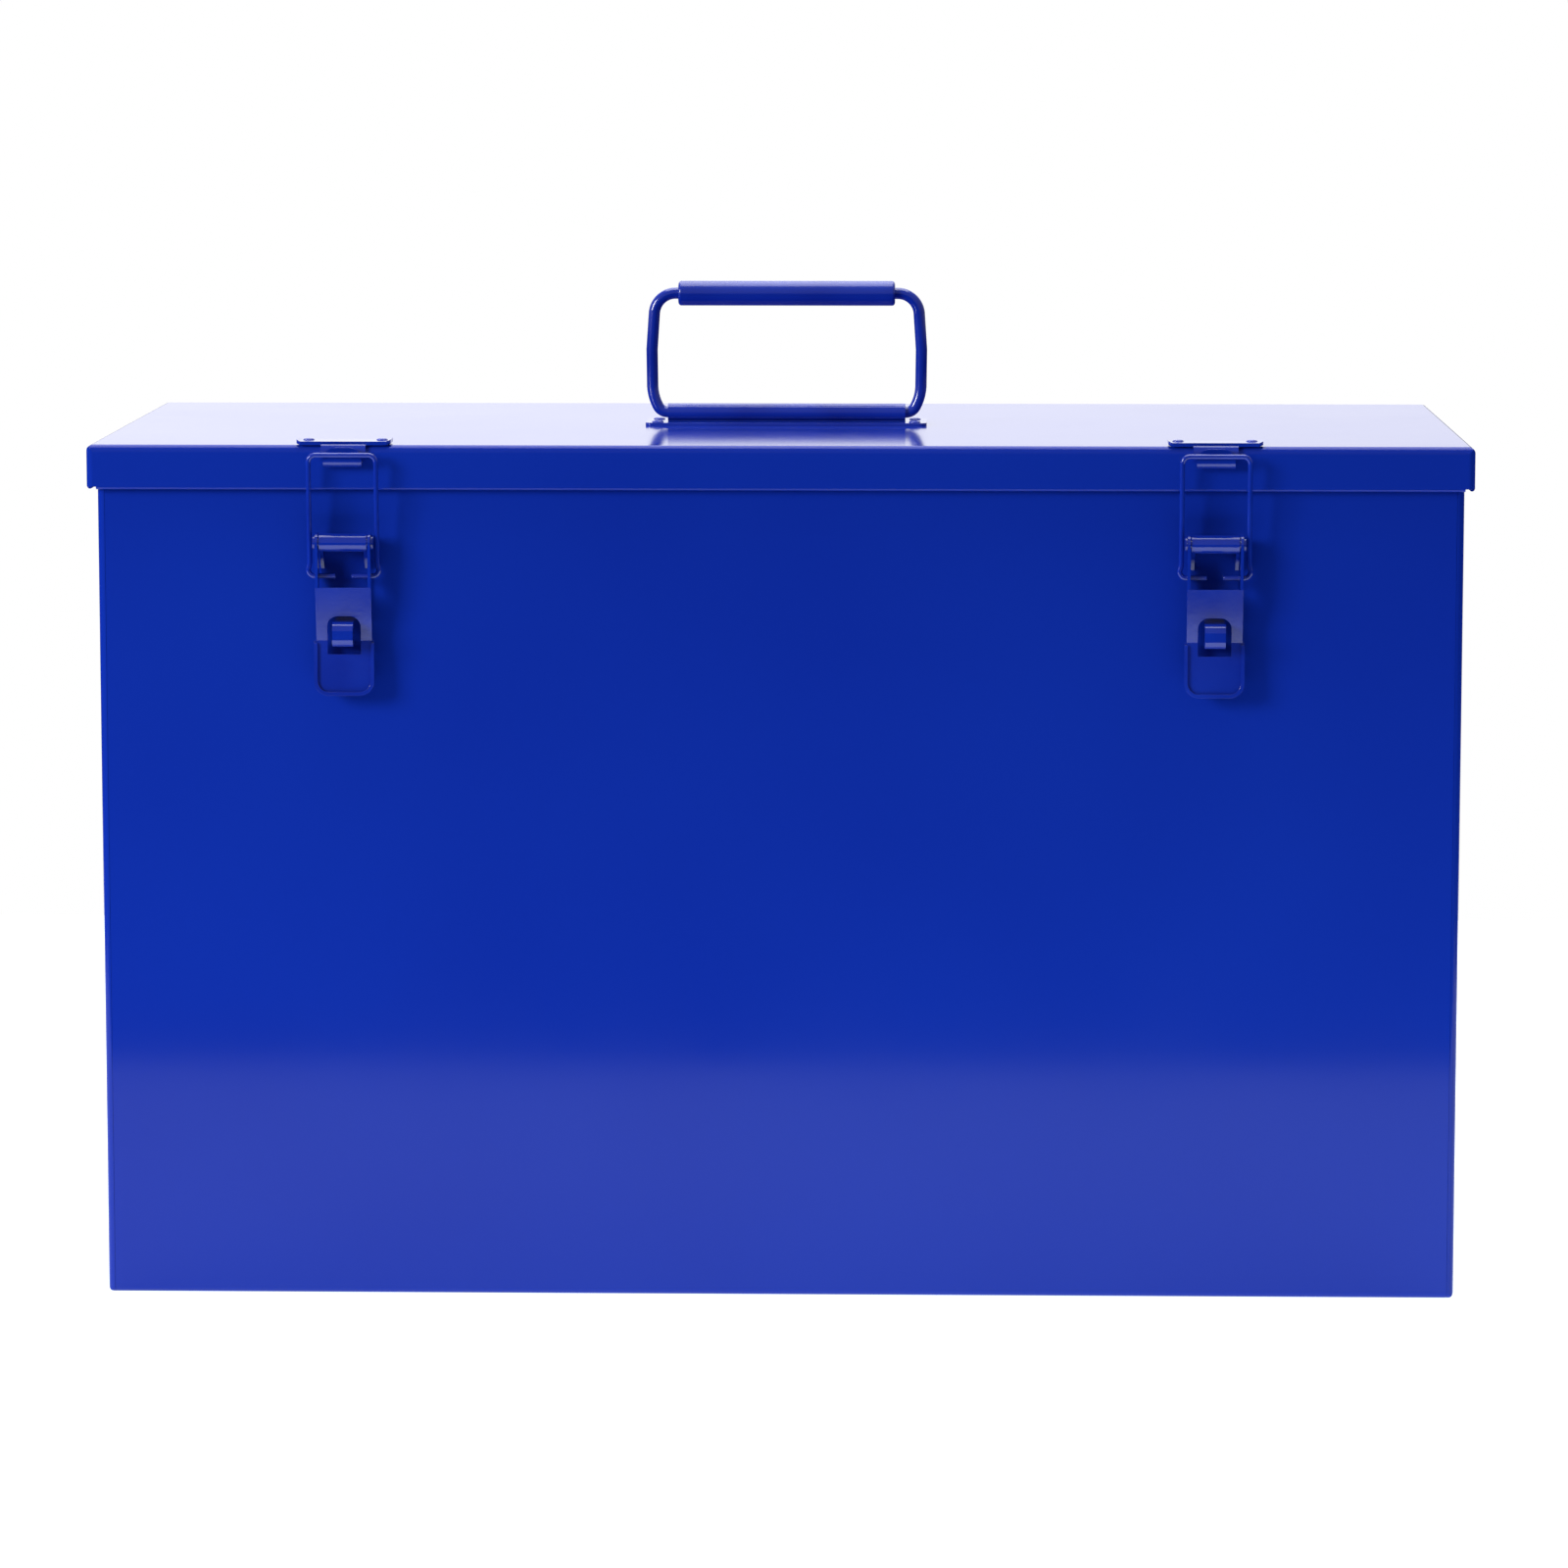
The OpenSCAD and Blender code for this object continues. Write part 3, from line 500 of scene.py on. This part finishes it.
def makeRivets(nodeName):
    facing, sheets = Vector(rivets[nodeName]["facing"]), rivets[nodeName]["sheets"] * mm
    boxes = solidBoxes(nodeName)
    low, high = Vector(boxes[0][0]), Vector(boxes[0][1])
    across = [i for i in range(3) if abs(facing[i]) < 0.5]
    headR = (high[across[0]] - low[across[0]]) / 2
    length = (high - low).dot(Vector([abs(c) for c in facing]))
    headH = length - sheets - rivetShape["tail"]
    rim, shank = rivetShape["rim"], headR * rivetShape["shank"]
    tailR, tailEnd = shank + rivetShape["tailSpread"], -sheets - rivetShape["tail"]
    tailRound = rivetShape["tailRound"]
    steps = rivetShape["domeSteps"]
    dome = [((headR - rim) * math.sin(t), rim + (headH - rim) * math.cos(t))
            for t in [math.pi / 2 * k / steps for k in range(steps + 1)]]
    rimRound = [(headR - rim + rim * math.sin(t), rim * math.cos(t)) for t in rivetShape["rimAngles"]]
    foot = [(headR, 0.0), (shank, 0.0), (shank, -sheets), (tailR, -sheets),
            (tailR, tailEnd + tailRound), (tailR - tailRound, tailEnd), (0, tailEnd)]
    shape = turnedShape(nodeName + "_shape", dome + rimRound + foot)
    places = []
    for boxLow, boxHigh in boxes:
        middle = (Vector(boxLow) + Vector(boxHigh)) / 2
        places.append(middle + facing * (length / 2 - headH))
    piece = studPiece("painted_" + nodeName, shape, places, facing)
    return standsFor(piece, [nodeName], bodyOf[nodeName])


for nodeName in rivets:
    makeRivets(nodeName)
print("stage: rivets")


tableTop = {"front": -0.66, "back": 0.9, "halfWidth": 1.1, "colour": "#C4C4C4", "rough": 0.9,
            "shine": 0.1, "glow": "#F4FFFF", "glowLevel": 1.1}


def shootingTable():
    # Opal acrylic, matt and lit from below, so that it stays white under the box
    t = tableTop
    w = t["halfWidth"]
    mesh = bpy.data.meshes.new("floor")
    mesh.from_pydata([(-w, t["front"], 0), (w, t["front"], 0), (w, t["back"], 0), (-w, t["back"], 0)],
                     [], [(0, 1, 2, 3)])
    acrylic = bpy.data.materials.new("opal_acrylic_lit_from_below")
    acrylic.use_nodes = True
    tree = acrylic.node_tree
    tree.nodes.clear()
    opal = addNode(tree, "ShaderNodeBsdfPrincipled", {}, {
        "Base Color": linear(t["colour"]), "Roughness": t["rough"], "Specular IOR Level": t["shine"],
        "Emission Color": linear(t["glow"]), "Emission Strength": t["glowLevel"]})
    addNode(tree, "ShaderNodeOutputMaterial", {}, {"Surface": (opal, 0)})
    mesh.materials.append(acrylic)
    floor = linkObject("floor", mesh)
    return floor


# what the paint sees all round: nothing below the table, a dim room, and a lit panel low down behind;
# each four numbers are where a fade starts and ends along one axis of the view, and its values there
studio = {"aboveTable": (-0.02, 0.02, 0.0, 1.0), "room": (-0.6, 0.9, 0.28, 0.62), "panel": 1.45,
          "panelSides": (0.42, 0.62, 1.0, 0.0), "panelAhead": (0.3, 0.6, 0.0, 1.0),
          "panelLift": (0.08, 0.35, 0.46, 1.1), "panelAcross": (-0.15, 0.15, 1.05, 0.79)}


def studioWorld():
    world = bpy.data.worlds.new("studio")
    bpy.context.scene.world = world
    world.use_nodes = True
    tree = world.node_tree
    tree.nodes.clear()
    place = addNode(tree, "ShaderNodeTexCoord")
    way = addNode(tree, "ShaderNodeSeparateXYZ", {}, {0: (place, "Generated")})
    offX = addNode(tree, "ShaderNodeMath", {"operation": "ABSOLUTE"}, {0: (way, 0)})
    along = {"aboveTable": (way, 2), "room": (way, 1), "panelSides": (offX, 0), "panelAhead": (way, 1),
             "panelLift": (way, 2), "panelAcross": (way, 0)}
    fade = {name: addNode(tree, "ShaderNodeMapRange", {}, dict(enumerate([axis, *studio[name]])))
            for name, axis in along.items()}
    panel = studio["panel"]
    for name in ("panelSides", "panelAhead", "panelLift", "panelAcross"):
        step = addNode(tree, "ShaderNodeMath", {"operation": "MULTIPLY"}, {0: panel, 1: (fade[name], 0)})
        panel = (step, 0)
    both = addNode(tree, "ShaderNodeMath", {"operation": "ADD"}, {0: (fade["room"], 0), 1: panel})
    level = addNode(tree, "ShaderNodeMath", {"operation": "MULTIPLY"},
                    {0: (fade["aboveTable"], 0), 1: (both, 0)})
    # the camera itself sees plain white all round
    ray = addNode(tree, "ShaderNodeLightPath")
    seen = addNode(tree, "ShaderNodeMix", {"data_type": "FLOAT"},
                   {0: (ray, "Is Camera Ray"), 2: (level, 0), 3: 1.0})
    glow = addNode(tree, "ShaderNodeBackground", {}, {"Color": (1, 1, 1, 1), "Strength": (seen, 0)})
    addNode(tree, "ShaderNodeOutputWorld", {}, {"Surface": (glow, 0)})


# square soft boxes, sizes in metres
softBoxes = {"keyLight": {"at": (-2.2, -1.7, 1.15), "target": (0, -0.12, 0.2), "size": 1.0, "watts": 62},
             "topLight": {"at": (0.0, 0.3, 2.4), "target": (0, 0, 0), "size": 2.0, "watts": 48}}


def softBox(name):
    box = softBoxes[name]
    light = bpy.data.lights.new(name, "AREA")
    light.shape = "SQUARE"
    light.size = box["size"]
    light.energy = box["watts"]
    lamp = linkObject(name, light)
    lamp.location = box["at"]
    lamp.rotation_mode = "QUATERNION"
    lamp.rotation_quaternion = (Vector(box["target"]) - Vector(box["at"])).to_track_quat("-Z", "Y")
    return lamp


cameraSet = {"at": (0.065, -2.602, 0.534), "forward": (-0.0252, 0.9913, -0.1292), "lens": 142.0,
             "sensor": 36.0, "near": 0.05, "far": 100.0}


def makeCamera():
    data = bpy.data.cameras.new("camera")
    data.lens = cameraSet["lens"]
    data.sensor_width = cameraSet["sensor"]
    data.clip_start, data.clip_end = cameraSet["near"], cameraSet["far"]
    camera = linkObject("camera", data)
    camera.location = cameraSet["at"]
    camera.rotation_mode = "QUATERNION"
    camera.rotation_quaternion = Vector(cameraSet["forward"]).to_track_quat("-Z", "Y")
    bpy.context.scene.camera = camera


floor = shootingTable()
studioWorld()
lamps = {name: softBox(name) for name in softBoxes}
# the key light is flagged off the table, so that the box throws no hard shadow on it
flagged = bpy.data.collections.new("flaggedOffTheKeyLight")
flagged.objects.link(floor)
flagged.collection_objects[0].light_linking.link_state = "EXCLUDE"
lamps["keyLight"].light_linking.receiver_collection = flagged
makeCamera()
bpy.context.scene.view_settings.view_transform = "Standard"
print("stage: table, light and camera")
